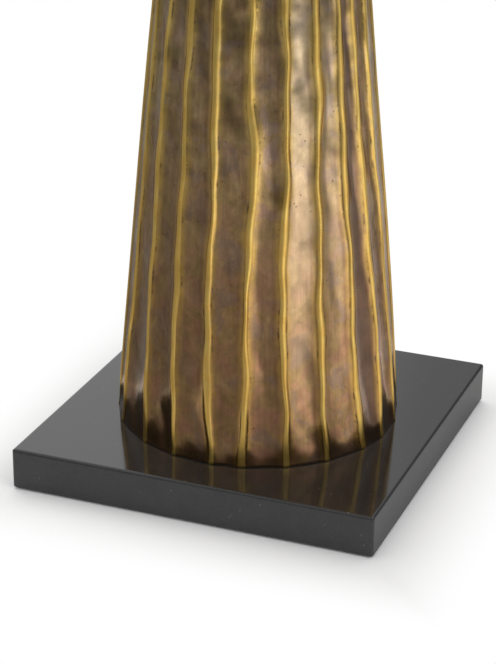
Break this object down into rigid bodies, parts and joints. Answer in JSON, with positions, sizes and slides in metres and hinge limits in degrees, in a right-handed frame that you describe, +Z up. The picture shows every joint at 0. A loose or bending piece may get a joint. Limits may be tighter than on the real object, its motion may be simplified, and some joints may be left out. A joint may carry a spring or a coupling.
{
  "type": "column table lamp",
  "caption": "Table lamp with a tapered fluted metal column on a square black granite slab, a turn-knob lamp holder, a harp with finial and a tapered cloth shade.",
  "frame": {"origin": "on the column axis at the surface the lamp stands on", "axes": "+Z up, -Y is the slab edge that faces front, cord outlet in the +Y edge, harp in the XZ plane"},
  "size_m": [0.45, 0.4498, 0.8457],
  "materials": {
    "granite": "polished black granite, honed edges",
    "felt": "dark felt",
    "rubber_black": "moulded black bush",
    "zinc_steel": "zinc-plated steel",
    "gilt_metal": "gilded and patinated metal, polished ribs",
    "brass": "satin brass",
    "harp_brass": "brass-plated wire and strip",
    "phenolic": "black moulded insulator",
    "contact_metal": "bare contact metal",
    "bulb_glass": "frosted glass",
    "shade_cloth": "natural linen over a clear liner",
    "white_steel": "white painted steel strip"
  },
  "bodies": {
    "stand": {"granite_base": "granite", "base_felt": "felt", "cord_bush": "rubber_black", "base_washer": "zinc_steel", "base_nut": "zinc_steel", "threaded_rod": "zinc_steel", "foot_plate": "zinc_steel", "column_shell": "gilt_metal", "column_cap": "brass", "column_neck": "brass", "harp_saddle": "harp_brass", "harp_wire": "harp_brass", "harp_stud": "brass", "holder_cap": "brass", "holder_shell": "brass", "holder_insulator": "phenolic", "holder_screw_shell": "contact_metal", "holder_contact": "contact_metal"},
    "ferrule_left": {"harp_ferrule_left": "brass"},
    "ferrule_right": {"harp_ferrule_right": "brass"},
    "switch": {"switch_spindle": "zinc_steel", "switch_knob": "phenolic"},
    "bulb": {"bulb_contact": "contact_metal", "bulb_insulator": "phenolic", "bulb_cap": "contact_metal", "bulb_glass": "bulb_glass"},
    "shade": {"shade_wall": "shade_cloth", "shade_top_ring": "white_steel", "shade_bottom_ring": "white_steel", "spider_hub": "brass", "spider_arm_1": "harp_brass", "spider_arm_2": "harp_brass", "spider_arm_3": "harp_brass"},
    "finial": {"finial": "brass"}
  },
  "joints": [
    {"name": "left_ferrule_lift", "type": "slide", "parent": "stand", "child": "ferrule_left", "axis": [0, 0, 1], "range_m": [0, 0.012]},
    {"name": "right_ferrule_lift", "type": "slide", "parent": "stand", "child": "ferrule_right", "axis": [0, 0, 1], "range_m": [0, 0.012]},
    {"name": "switch_turn", "type": "hinge", "parent": "stand", "child": "switch", "pos_m": [0, -0.02, 0.5826], "axis": [0, -1, 0], "continuous": true},
    {"name": "bulb_turn", "type": "hinge", "parent": "stand", "child": "bulb", "pos_m": [0, 0, 0.6086], "axis": [0, 0, 1], "continuous": true},
    {"name": "shade_swivel", "type": "hinge", "parent": "stand", "child": "shade", "pos_m": [0, 0, 0.8145], "axis": [0, 0, 1], "continuous": true},
    {"name": "finial_turn", "type": "hinge", "parent": "stand", "child": "finial", "pos_m": [0, 0, 0.817], "axis": [0, 0, 1], "continuous": true}
  ]
}
